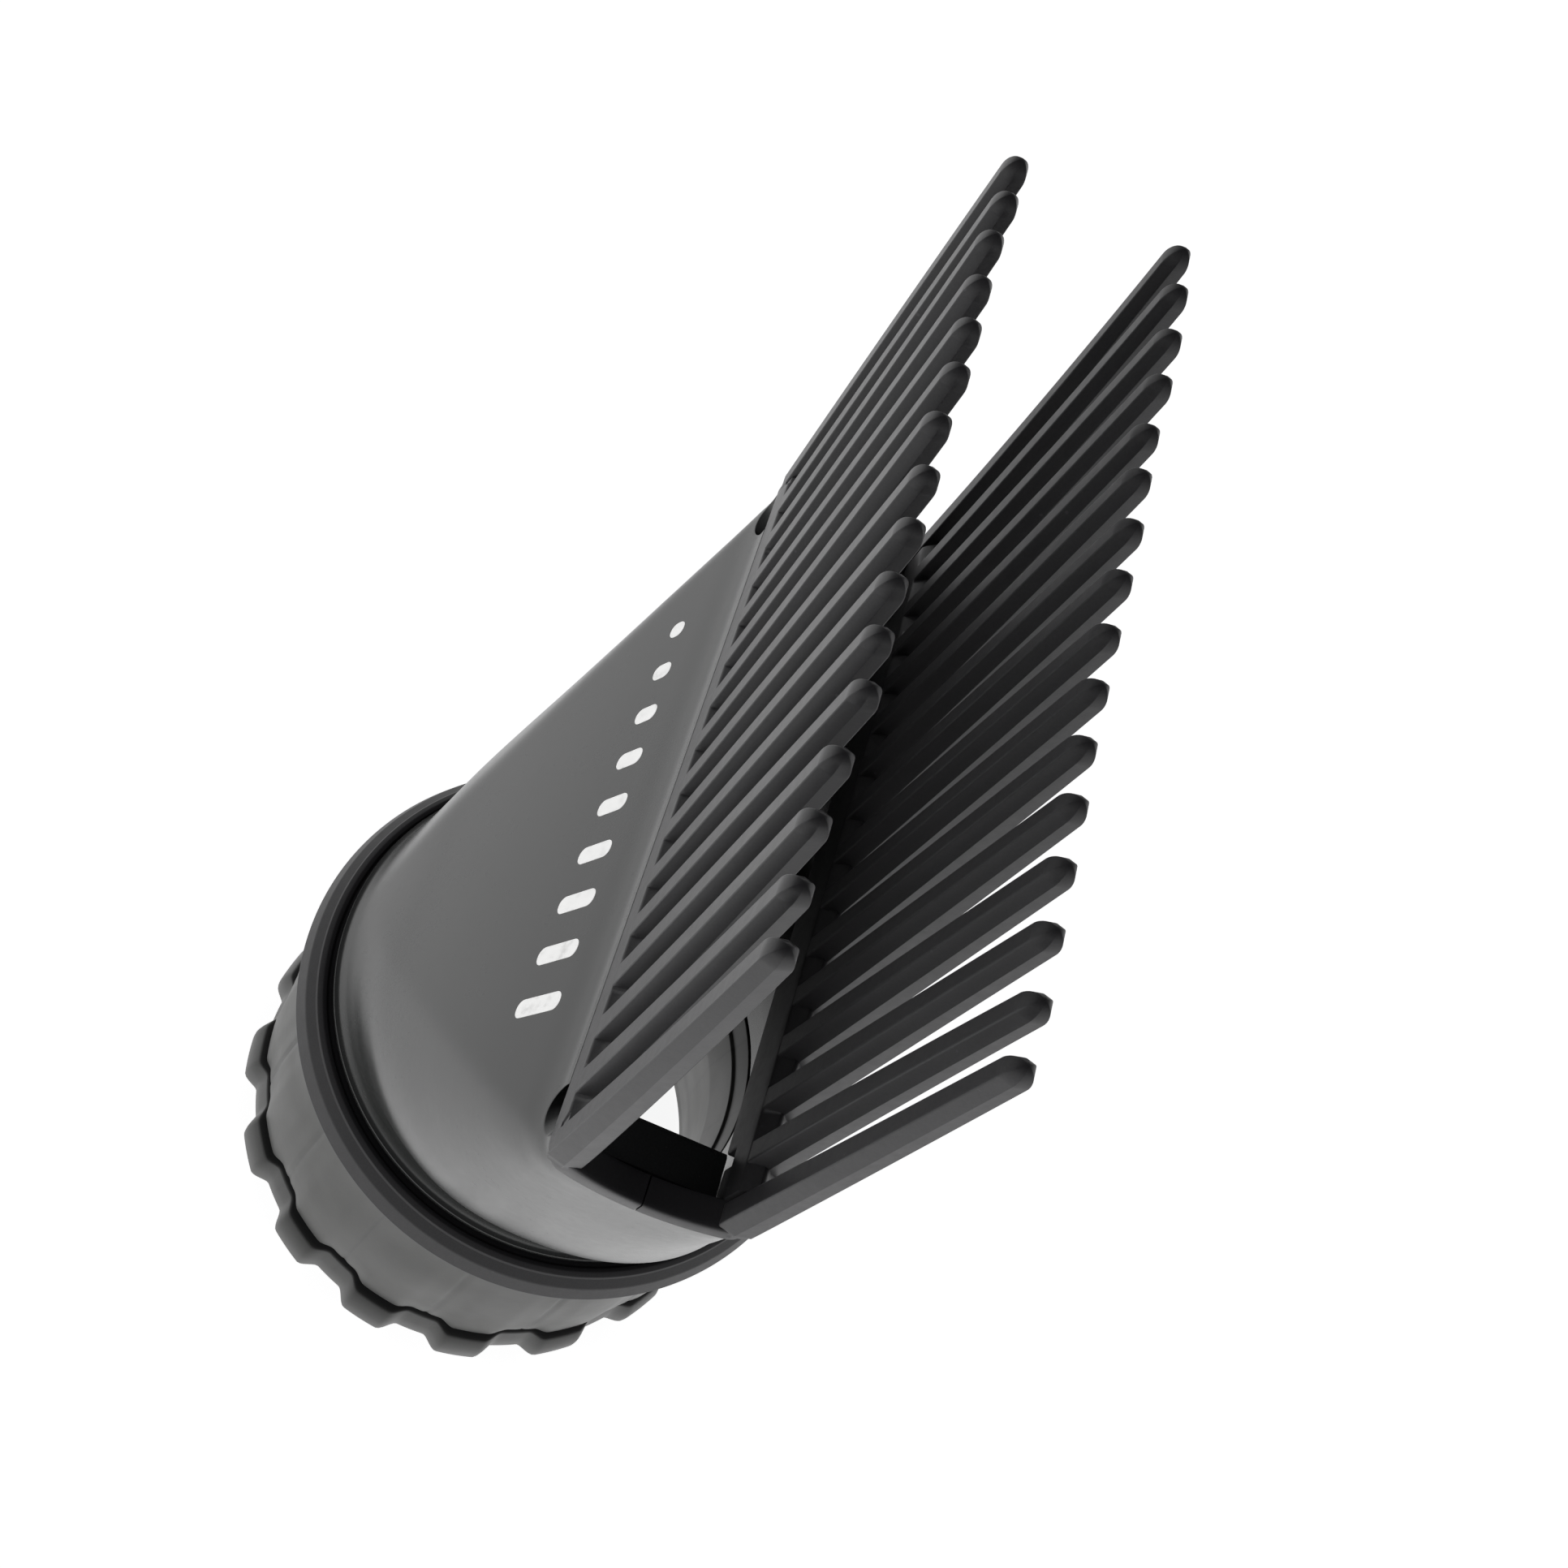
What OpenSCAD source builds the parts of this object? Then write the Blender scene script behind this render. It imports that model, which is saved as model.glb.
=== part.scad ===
// Hair dryer comb nozzle: a funnel body with two clip-in tooth combs,
// swivelling in a collar ring that carries a soft universal-fit sleeve.
// Millimetres. Origin at the bottom centre of the sleeve lip, +Z along the air.

/* [Teeth] */
// Distance between tooth centres
pitch = 4.8; // [4.6:0.1:5.0]
// Teeth in each row
teeth = 16; // [16]
// Tooth length above the outlet
tooth_len = 39.8; // [30:0.1:48]
// Tooth depth at the root
tooth_depth = 3.0; // [2.8:0.1:3.3]
// Tooth width at the ridge, root end
tooth_w = 2.7; // [2.2:0.1:3]
// Width of the flat outer face of a tooth, root end
tooth_flat = 1.96; // [1.5:0.02:2.1]
// Height of the web between teeth
web_h = 1.5; // [1:0.1:4]

/* [Outlet] */
// Half length of the outlet
out_a = 37.2; // [37.2]
// Half width of the outlet
out_b = 8.9; // [8.9]
// Corner radius of the outlet
out_r = 1.6; // [1:0.1:2]
// Height of the outlet plane
out_z = 100; // [100]
// Height of the comb strip
strip_h = 3.4; // [3:0.1:3.8]
// Half length of the air slot
slot_a = 30.0; // [29.5:0.1:30.5]
// Outer face of the ledge at each end of the slot
plate_x = 34.5; // [34.4:0.1:34.6]
// Top of the ledge
plate_z = 95.2; // [95:0.1:95.4]
// Radius of the scoop in each short end
scoop_r = 13.4; // [13.4]
// Lowest point of the scoop
scoop_z = 95.7; // [95.7]

/* [Windows] */
// Radius of the half-round clip windows
win_r = 2.4; // [2:0.1:2.6]
// Distance of a window from the middle
win_x = 32.9; // [32:0.1:33.2]

/* [Body] */
// Wall of the funnel
wall = 1.8; // [1.5:0.1:2]
// Radius of the funnel foot
foot_r = 29.5; // [29.5]
// Height of the funnel foot
foot_z = 43.9; // [43.9]
// Inner radius of the spigot
spigot_ri = 23.9; // [23.6:0.1:24]
// Outer radius of the spigot
spigot_ro = 25.9; // [25.9]
// Radius of the snap bead under the collar
bead_r = 26.9; // [26.5:0.1:26.9]

/* [Collar] */
// Radius of the collar bearing bore
bore_r = 25.95; // [25.95]
// Radius of the collar flange
flange_r = 33.0; // [32:0.1:33]
// Radius of the flange's raised edge
edge_r = 30.4; // [30:0.1:30.6]
// Outer radius of the collar skirt, under the sleeve
skirt_r = 28.6; // [28.6]

/* [Sleeve] */
// Number of lobes round the lip
lobes = 16; // [16]
// Radius of the lip at a lobe
lip_r = 34.1; // [33.5:0.1:34.5]
// Radius of the lip in a valley
lip_valley = 32.4; // [32:0.1:32.8]
// Inner radius of the lip
mouth_r = 27.8; // [27:0.1:28]
// Radius of the barrel grip
grip_r = 23.5; // [23:0.1:23.5]
// Length of the barrel grip
grip_len = 8; // [8]

/* [Hidden] */
split_z = out_z - strip_h;
gap = 0.06;
scoop_cz = scoop_z + scoop_r;
land = sqrt(pow(scoop_cz - split_z, 2) + pow(out_b - 0.2, 2)) - scoop_r;

// funnel sections from the outlet down: height, half length, half width, corner
secs = [
    [out_z, out_a, out_b, out_r],
    [split_z, out_a, out_b + 0.1, 2.0],
    [90.4, 36.3, 10.9, 4.2],
    [80.8, 35.0, 14.8, 9.0],
    [71.2, 33.7, 18.7, 14.2],
    [61.6, 32.3, 22.6, 19.6],
    [56.8, 31.6, 24.6, 22.6],
    [53.0, 30.8, 26.3, 25.4],
    [49.6, 29.9, 27.9, 27.6],
    [46.7, 29.4, 29.0, 28.9],
    [foot_z, foot_r, foot_r, foot_r]
];
NQ = 10;
function rr(a, b, r) = [for (q = [0:3]) for (i = [0:NQ - 1])
    let (t = 90 * q + 90 * (i + 0.5) / NQ, sx = (q == 0 || q == 3) ? 1 : -1, sy = q < 2 ? 1 : -1)
    [sx * (a - r) + r * cos(t), sy * (b - r) + r * sin(t)]];

// closed skin through a list of sections, given from the top down
module loft(s, off) {
    n = 4 * NQ;
    m = len(s);
    pts = [for (k = [0:m - 1]) for (p = rr(s[k][1] - off, s[k][2] - off, max(s[k][3] - off, 0.6))) [p[0], p[1], s[k][0]]];
    side = [for (k = [0:m - 2]) for (i = [0:n - 1]) each [
        [k * n + i, k * n + (i + 1) % n, (k + 1) * n + (i + 1) % n],
        [k * n + i, (k + 1) * n + (i + 1) % n, (k + 1) * n + i]]];
    polyhedron(points = pts, faces = concat([[for (i = [n - 1:-1:0]) i]], side, [[for (i = [0:n - 1]) (m - 1) * n + i]]), convexity = 6);
}

module outline(a, b, r) {
    translate([-(a - r), -b]) square([2 * (a - r), 2 * b]);
    translate([-a, -(b - r)]) square([2 * a, 2 * (b - r)]);
    for (x = [-1, 1], y = [-1, 1]) translate([x * (a - r), y * (b - r)]) circle(r = r, $fn = 32);
}

module nozzle_body() color([0.36, 0.36, 0.37]) {
    difference() {
        union() {
            difference() {
                loft(secs, 0);
                // air way, carried past both faces
                loft(concat([[out_z + 1, out_a, out_b, out_r]],
                    [for (k = [1:len(secs) - 3]) secs[k]],
                    [[foot_z + 1.9, 29.45, 29.2, 29.1]]), wall);
                translate([0, 0, split_z]) linear_extrude(20) square([90, 90], center = true);
                for (s = [-1, 1]) translate([s * 36, 0, scoop_cz]) rotate([0, 90, 0])
                    cylinder(r = scoop_r + land, h = 9, center = true, $fn = 96);
                translate([0, 0, foot_z - 1]) cylinder(r = spigot_ri, h = 6, $fn = 96);
            }
            // ledge at each end of the slot, just below the scooped lands
            for (s = [-1, 1]) intersection() {
                loft(secs, 0.4);
                rotate([90, 0, 0]) translate([0, 0, -(out_b - tooth_depth - 0.1)])
                    linear_extrude(2 * (out_b - tooth_depth - 0.1))
                        polygon([[s * slot_a, 90.5], [s * slot_a, plate_z - 0.6], [s * (slot_a + 0.6), plate_z],
                            [s * (plate_x - 0.3), plate_z], [s * plate_x, plate_z - 0.3],
                            [s * plate_x, 93.0], [s * 36.8, 93.0], [s * 36.8, 80]]);
            }
            // spigot with its snap bead
            rotate_extrude($fn = 128) polygon([
                [spigot_ri, foot_z + 1.9], [spigot_ri, 36.6], [spigot_ro - 0.5, 36.6],
                [bead_r, 37.6], [bead_r, 38.3], [spigot_ro, 38.9], [spigot_ro, foot_z + 0.02],
                [spigot_ro + 0.8, foot_z + 0.02], [spigot_ro + 0.8, foot_z + 1.9]]);
        }
        // half-round clip windows under the strip
        for (x = [-1, 1], y = [-1, 1]) translate([x * win_x, y * 4.5, split_z]) rotate([y * -90, 0, 0])
            cylinder(r = win_r, h = 9, $fn = 48);
    }
}

// hexagonal tooth, widest at mid depth, flat outer face on y = 0, inner side on +y
module hexa(w, f, d) polygon([[-f / 2, 0], [f / 2, 0], [w / 2, d * 0.5], [f / 2 * 0.98, d], [-f / 2 * 0.98, d], [-w / 2, d * 0.5]]);
module tooth() {
    lm = tooth_len - 2.0;
    linear_extrude(height = lm, scale = [0.72, 0.77]) hexa(tooth_w, tooth_flat, tooth_depth);
    translate([0, 0, lm]) linear_extrude(height = 1.2, scale = [0.80, 0.86])
        hexa(tooth_w * 0.72, tooth_flat * 0.72, tooth_depth * 0.77);
    translate([0, 0.10, lm + 1.2]) linear_extrude(height = 0.8, scale = [0.45, 0.55])
        hexa(tooth_w * 0.576, tooth_flat * 0.576, tooth_depth * 0.62);
}

module comb() {
    // strip flush with the funnel face, and its half of each end land
    difference() {
        translate([0, 0, scoop_z - 3]) linear_extrude(out_z - scoop_z + 3) difference() {
            outline(out_a, out_b, out_r);
            translate([-50, -gap / 2]) square([100, 40]);
            translate([-(plate_x + 0.08), -(out_b - tooth_depth)]) square([2 * (plate_x + 0.08), 40]);
        }
        // underside: flat over the long wall, scooped over the short ends
        translate([0, 0, scoop_z - 10]) linear_extrude(split_z + gap - scoop_z + 10) difference() {
            square([90, 90], center = true);
            for (s = [-1, 1]) translate([s * 36, 0]) square([9, 90], center = true);
        }
        for (s = [-1, 1]) translate([s * 36, 0, scoop_z - 10]) intersection() {
            linear_extrude(split_z + gap - scoop_z + 10) square([9, 90], center = true);
            difference() {
                linear_extrude(40) square([9, 90], center = true);
                translate([0, 0, scoop_r + 10]) rotate([0, 90, 0]) cylinder(r = scoop_r + land - gap, h = 20, center = true, $fn = 96);
            }
        }
        // the scoop on top of the end lands
        for (s = [-1, 1]) translate([s * 37.55, 0, scoop_cz]) rotate([0, 90, 0])
            cylinder(r = scoop_r, h = 6, center = true, $fn = 96);
    }
    // tongue inside the funnel wall
    translate([-slot_a + 0.1, -(out_b - 1.95), 94.2]) cube([2 * slot_a - 0.2, tooth_depth - 1.95, split_z - 94.2 + 1]);
    // clip hooks behind the windows
    for (s = [-1, 1]) translate([s * win_x - 1.6, -(out_b - 1.95), 94.6]) cube([3.2, 1.0, split_z - 94.6 + 0.6]);
    // web between the teeth
    translate([-(teeth / 2 - 0.5) * pitch, 0, 0]) rotate([90, 0, 90]) linear_extrude((teeth - 1) * pitch)
        polygon([[-out_b, out_z - 1], [-out_b, out_z], [-out_b + 1.4, out_z + web_h], [-out_b + 1.9, out_z + web_h],
            [-(out_b - tooth_depth), out_z + 0.4], [-(out_b - tooth_depth), out_z - 1]]);
    for (i = [0:teeth - 1]) translate([(i - (teeth - 1) / 2) * pitch, -out_b, out_z - 0.6]) tooth_at(i);
    // the end teeth reach down to the scooped lands
    for (i = [0, teeth - 1]) translate([(i - (teeth - 1) / 2) * pitch, -out_b, 96.9]) linear_extrude(out_z - 0.5 - 96.9)
        hexa(tooth_w, tooth_flat, tooth_depth);
}
module tooth_at(i) {
    linear_extrude(0.6) hexa(tooth_w, tooth_flat, tooth_depth);
    translate([0, 0, 0.6]) tooth();
}

module front_comb() color([0.40, 0.40, 0.41]) comb();
module rear_comb() color([0.33, 0.33, 0.34]) rotate([0, 0, 180]) comb();

module collar_ring() color([0.42, 0.42, 0.43]) rotate_extrude($fn = 128) polygon([
    [bore_r, 39.2], [bore_r, 43.3], [edge_r - 0.5, 43.3], [edge_r, 43.5], [edge_r + 0.5, 43.3],
    [flange_r - 0.3, 42.3], [flange_r, 41.9], [flange_r - 0.15, 39.7], [flange_r - 0.5, 39.3],
    [31.0, 39.3], [31.0, 41.0], [skirt_r, 41.0],
    [skirt_r, 33.4], [27.4, 33.4], [27.4, 39.2]]);

module adapter_sleeve() color([0.62, 0.61, 0.58]) difference() {
    rotate_extrude($fn = 128) polygon([
        [30.6, 40.95], [30.7, 34], [31.3, 24], [31.9, 15], [31.9, 11.5], [31.3, 9.4], [31.9, 7.6],
        [lip_r - 0.5, 4.2], [lip_r, 2.6], [lip_r - 0.6, 0.6], [lip_r - 1.6, 0],
        [mouth_r + 0.8, 0], [mouth_r, 0.8], [mouth_r, 2.0],
        [grip_r, 23.8], [grip_r, 23.8 + grip_len], [spigot_ri, 31.8], [spigot_ri, 36.2], [grip_r + 1.6, 36.2], [grip_r + 1.9, 24],
        [29.3, 6.2], [29.7, 12], [29.2, 24], [28.7, 32], [skirt_r, 33.4], [skirt_r, 40.95]]);
    // valleys between the lip lobes
    for (k = [0:lobes - 1]) rotate([0, 0, (k - 0.02) * 360 / lobes]) translate([lip_valley + 5, 0, -1])
        cylinder(r = 5, h = 9.5, $fn = 48);
}

nozzle_body();
front_comb();
rear_comb();
collar_ring();
adapter_sleeve();
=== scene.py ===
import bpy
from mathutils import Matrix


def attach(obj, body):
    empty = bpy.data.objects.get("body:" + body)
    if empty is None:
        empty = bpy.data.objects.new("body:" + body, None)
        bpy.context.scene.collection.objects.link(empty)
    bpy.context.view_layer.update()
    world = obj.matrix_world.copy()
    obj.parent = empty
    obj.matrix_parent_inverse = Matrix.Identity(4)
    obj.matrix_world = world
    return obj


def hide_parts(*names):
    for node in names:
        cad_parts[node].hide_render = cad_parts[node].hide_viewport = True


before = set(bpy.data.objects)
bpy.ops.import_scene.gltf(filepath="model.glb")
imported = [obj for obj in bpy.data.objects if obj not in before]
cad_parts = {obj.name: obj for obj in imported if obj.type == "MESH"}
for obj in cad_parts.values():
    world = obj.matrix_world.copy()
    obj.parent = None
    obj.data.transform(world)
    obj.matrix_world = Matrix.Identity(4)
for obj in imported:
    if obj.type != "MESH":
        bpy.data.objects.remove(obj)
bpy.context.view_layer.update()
import math

import bmesh
import bpy
import numpy as np
from mathutils import Matrix, Vector

MM = 0.001
scene = bpy.context.scene


# ---------------------------------------------------------------- helpers
def curve(xs, ys):
    """Smooth curve through points that never overshoots them."""
    xs, ys = np.array(xs, float), np.array(ys, float)
    h = np.diff(xs)
    d = np.diff(ys) / h
    m = np.zeros(len(xs))
    m[0], m[-1] = d[0], d[-1]
    for i in range(1, len(xs) - 1):
        if d[i - 1] * d[i] > 0:
            w1, w2 = 2 * h[i] + h[i - 1], h[i] + 2 * h[i - 1]
            m[i] = (w1 + w2) / (w1 / d[i - 1] + w2 / d[i])

    def f(x):
        x = np.clip(x, xs[0], xs[-1])
        k = np.clip(np.searchsorted(xs, x, side="right") - 1, 0, len(xs) - 2)
        t = (x - xs[k]) / h[k]
        return (
            (2 * t**3 - 3 * t**2 + 1) * ys[k]
            + (t**3 - 2 * t**2 + t) * h[k] * m[k]
            + (3 * t**2 - 2 * t**3) * ys[k + 1]
            + (t**3 - t**2) * h[k] * m[k + 1]
        )

    return f


def make(name, verts, faces):
    """Mesh object from points in millimetres."""
    me = bpy.data.meshes.new(name)
    me.from_pydata([tuple(float(c) * MM for c in v) for v in verts], [], faces)
    bm = bmesh.new()
    bm.from_mesh(me)
    bmesh.ops.remove_doubles(bm, verts=bm.verts, dist=2e-6)
    bmesh.ops.dissolve_degenerate(bm, edges=bm.edges, dist=1e-6)
    bmesh.ops.recalc_face_normals(bm, faces=bm.faces)
    bm.to_mesh(me)
    bm.free()
    o = bpy.data.objects.new(name, me)
    scene.collection.objects.link(o)
    return o


def grid_faces(rows, cols, wrap_rows, wrap_cols):
    faces = []
    for j in range(rows if wrap_rows else rows - 1):
        for i in range(cols if wrap_cols else cols - 1):
            a, b = j * cols + i, j * cols + (i + 1) % cols
            c, d = ((j + 1) % rows) * cols + (i + 1) % cols, ((j + 1) % rows) * cols + i
            faces.append((a, b, c, d))
    return faces


def boolean(target, tool, operation="UNION"):
    m = target.modifiers.new("join", "BOOLEAN")
    m.operation, m.solver, m.object = operation, "EXACT", tool
    bpy.context.view_layer.update()
    dg = bpy.context.evaluated_depsgraph_get()
    me = bpy.data.meshes.new_from_object(target.evaluated_get(dg))
    target.modifiers.clear()
    target.data = me
    bpy.data.objects.remove(tool)
    return target


def joined(name, parts):
    """Several separate closed meshes in one object."""
    bm = bmesh.new()
    for p in parts:
        bm.from_mesh(p.data)
    me = bpy.data.meshes.new(name)
    bm.to_mesh(me)
    bm.free()
    for p in parts:
        bpy.data.objects.remove(p)
    o = bpy.data.objects.new(name, me)
    scene.collection.objects.link(o)
    return o


def finish_mesh(o, mat, angle=34, weighted=True):
    me = o.data
    bm = bmesh.new()
    bm.from_mesh(me)
    bmesh.ops.remove_doubles(bm, verts=bm.verts, dist=1.5e-6)
    bmesh.ops.dissolve_degenerate(bm, edges=bm.edges, dist=1e-6)
    bmesh.ops.recalc_face_normals(bm, faces=bm.faces)
    for f in bm.faces:
        f.smooth = True
    bm.to_mesh(me)
    bm.free()
    me.materials.clear()
    me.materials.append(mat)
    me.set_sharp_from_angle(angle=math.radians(angle))
    if weighted:
        w = o.modifiers.new("normals", "WEIGHTED_NORMAL")
        w.keep_sharp, w.weight = True, 60
    return o


def rounded_polygon(corners, k=3):
    """corners = [(x, y, radius)], each replaced by an arc of k + 1 points."""
    out = []
    n = len(corners)
    for i, (x, y, r) in enumerate(corners):
        p = np.array([x, y], float)
        a = np.array(corners[i - 1][:2], float) - p
        b = np.array(corners[(i + 1) % n][:2], float) - p
        la, lb = np.linalg.norm(a), np.linalg.norm(b)
        a, b = a / la, b / lb
        ang = math.acos(max(-1, min(1, float(a @ b))))
        t = min(r / math.tan(ang / 2), 0.45 * la, 0.45 * lb)
        rr = t * math.tan(ang / 2)
        c = p + (a + b) / np.linalg.norm(a + b) * rr / math.sin(ang / 2)
        s, e = p + a * t - c, p + b * t - c
        a0 = math.atan2(s[1], s[0])
        da = (math.atan2(e[1], e[0]) - a0 + math.pi) % (2 * math.pi) - math.pi
        for q in range(k + 1):
            v = a0 + da * q / k
            out.append((c[0] + rr * math.cos(v), c[1] + rr * math.sin(v)))
    return out


def bevelled_box(name, lo, hi, width, segments=2):
    """A block with rounded edges, cut from its eight corners."""
    v = [(x, y, z) for x in (lo[0], hi[0]) for y in (lo[1], hi[1]) for z in (lo[2], hi[2])]
    f = [(0, 1, 3, 2), (4, 6, 7, 5), (0, 4, 5, 1), (2, 3, 7, 6), (0, 2, 6, 4), (1, 5, 7, 3)]
    o = make(name, v, f)
    bm = bmesh.new()
    bm.from_mesh(o.data)
    bmesh.ops.bevel(bm, geom=list(bm.edges), offset=width * MM, segments=segments, profile=0.5, affect="EDGES")
    bm.to_mesh(o.data)
    bm.free()
    return o


def prism(name, outline, y0, y1, width=0.0):
    """An outline in x and z carried from y0 to y1, with its edges rounded."""
    n = len(outline)
    v = [(x, y0, z) for x, z in outline] + [(x, y1, z) for x, z in outline]
    f = [tuple(range(n)), tuple(range(2 * n - 1, n - 1, -1))]
    f += [(i, (i + 1) % n, n + (i + 1) % n, n + i) for i in range(n)]
    o = make(name, v, f)
    if width:
        bm = bmesh.new()
        bm.from_mesh(o.data)
        bmesh.ops.bevel(bm, geom=list(bm.edges), offset=width * MM, segments=2, profile=0.5, affect="EDGES")
        bm.to_mesh(o.data)
        bm.free()
    return o


# ---------------------------------------------------------------- materials
def nodes_of(mat):
    mat.use_nodes = True
    nt = mat.node_tree
    nt.nodes.clear()
    out = nt.nodes.new("ShaderNodeOutputMaterial")
    sh = nt.nodes.new("ShaderNodeBsdfPrincipled")
    nt.links.new(sh.outputs[0], out.inputs[0])
    return nt, sh


def ramp(nt, stops, src, interp="LINEAR"):
    r = nt.nodes.new("ShaderNodeValToRGB")
    r.color_ramp.interpolation = interp
    e = r.color_ramp.elements
    while len(e) < len(stops):
        e.new(0.5)
    for el, (p, c) in zip(e, stops):
        el.position = p
        el.color = (c, c, c, 1) if isinstance(c, (int, float)) else (*c, 1)
    nt.links.new(src, r.inputs[0])
    return r.outputs[0]


def noise(nt, coord, scale, detail=4.0, rough=0.55, stretch=None):
    src = coord
    if stretch:
        mp = nt.nodes.new("ShaderNodeMapping")
        mp.inputs["Scale"].default_value = stretch
        nt.links.new(coord, mp.inputs[0])
        src = mp.outputs[0]
    n = nt.nodes.new("ShaderNodeTexNoise")
    n.inputs["Scale"].default_value = scale
    n.inputs["Detail"].default_value = detail
    n.inputs["Roughness"].default_value = rough
    nt.links.new(src, n.inputs["Vector"])
    return n.outputs["Fac"]


def mixc(nt, a, b, fac, kind="MIX"):
    m = nt.nodes.new("ShaderNodeMix")
    m.data_type, m.blend_type = "RGBA", kind
    for key, val in ((6, a), (7, b)):
        if isinstance(val, tuple):
            m.inputs[key].default_value = (*val, 1)
        else:
            nt.links.new(val, m.inputs[key])
    if isinstance(fac, float):
        m.inputs[0].default_value = fac
    else:
        nt.links.new(fac, m.inputs[0])
    return m.outputs[2]


def mathn(nt, op, a, b=None, c=None, clamp=False):
    m = nt.nodes.new("ShaderNodeMath")
    m.operation, m.use_clamp = op, clamp
    for i, v in enumerate((a, b, c)):
        if v is None:
            continue
        if isinstance(v, (int, float)):
            m.inputs[i].default_value = v
        else:
            nt.links.new(v, m.inputs[i])
    return m.outputs[0]


def moulded(name, dark, light, rough=(0.5, 0.62), grain=5200, grain_depth=0.010, streak=0.35, specks=0.5, specular=0.5):
    """Injection-moulded plastic: spark-eroded grain, flow marks, dust and handling wear."""
    mat = bpy.data.materials.new(name)
    nt, sh = nodes_of(mat)
    co = nt.nodes.new("ShaderNodeTexCoord").outputs["Object"]
    cloud = noise(nt, co, 55, 5, 0.6)
    flow = noise(nt, co, 420, 3, 0.5, stretch=(1, 1, 0.06))
    fine = noise(nt, co, grain, 2, 0.6)
    coarse = noise(nt, co, grain * 0.22, 3, 0.6)
    base = ramp(nt, [(0.32, dark), (0.68, light)], cloud)
    streaks = ramp(nt, [(0.40, 0.0), (0.75, 1.0)], flow)
    lighter = tuple(min(1, c * 1.30) for c in light)
    base = mixc(nt, base, lighter, mathn(nt, "MULTIPLY", streaks, streak * 0.45))
    grains = ramp(nt, [(0.35, 0.86), (0.65, 1.14)], fine)
    base = mixc(nt, base, grains, 0.75, "MULTIPLY")
    # sparse dust and pale flecks
    vo = nt.nodes.new("ShaderNodeTexVoronoi")
    vo.inputs["Scale"].default_value = 620
    nt.links.new(co, vo.inputs["Vector"])
    dot = ramp(nt, [(0.0, 1.0), (0.085, 0.6), (0.13, 0.0)], vo.outputs["Distance"])
    pick = ramp(nt, [(0.60, 0.0), (0.66, 1.0)], noise(nt, co, 900, 1, 0.5))
    fleck = mathn(nt, "MULTIPLY", dot, pick)
    base = mixc(nt, base, tuple(min(1, c * 2.6) for c in light), mathn(nt, "MULTIPLY", fleck, specks))
    nt.links.new(base, sh.inputs["Base Color"])
    rg = nt.nodes.new("ShaderNodeMapRange")
    rg.inputs["From Min"].default_value, rg.inputs["From Max"].default_value = 0.3, 0.7
    rg.inputs["To Min"].default_value, rg.inputs["To Max"].default_value = rough
    nt.links.new(mathn(nt, "ADD", mathn(nt, "MULTIPLY", cloud, 0.55), mathn(nt, "MULTIPLY", coarse, 0.45)), rg.inputs["Value"])
    nt.links.new(rg.outputs[0], sh.inputs["Roughness"])
    sh.inputs["Specular IOR Level"].default_value = specular
    sh.inputs["IOR"].default_value = 1.5
    height = mathn(nt, "ADD", mathn(nt, "MULTIPLY", fine, 0.6), mathn(nt, "ADD", mathn(nt, "MULTIPLY", coarse, 0.9), mathn(nt, "MULTIPLY", fleck, 0.5)))
    b = nt.nodes.new("ShaderNodeBump")
    b.inputs["Strength"].default_value = 0.55
    b.inputs["Distance"].default_value = grain_depth * MM
    nt.links.new(height, b.inputs["Height"])
    nt.links.new(b.outputs[0], sh.inputs["Normal"])
    return mat


FUNNEL = moulded("funnel_plastic", (0.024, 0.0252, 0.0242), (0.030, 0.0314, 0.0301), rough=(0.23, 0.29), streak=0.12, specks=0.25)
TEETH_F = moulded("front_comb_plastic", (0.019, 0.0186, 0.0200), (0.029, 0.0284, 0.0302), rough=(0.34, 0.44), streak=0.55, specks=0.8, grain_depth=0.012)
TEETH_R = moulded("rear_comb_plastic", (0.020, 0.0195, 0.0212), (0.028, 0.0274, 0.0292), rough=(0.44, 0.56), streak=0.45, specks=0.6, grain_depth=0.012)
RING = moulded("collar_plastic", (0.028, 0.0272, 0.0290), (0.036, 0.0350, 0.0370), rough=(0.46, 0.56), streak=0.0, specks=0.4)


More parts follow.
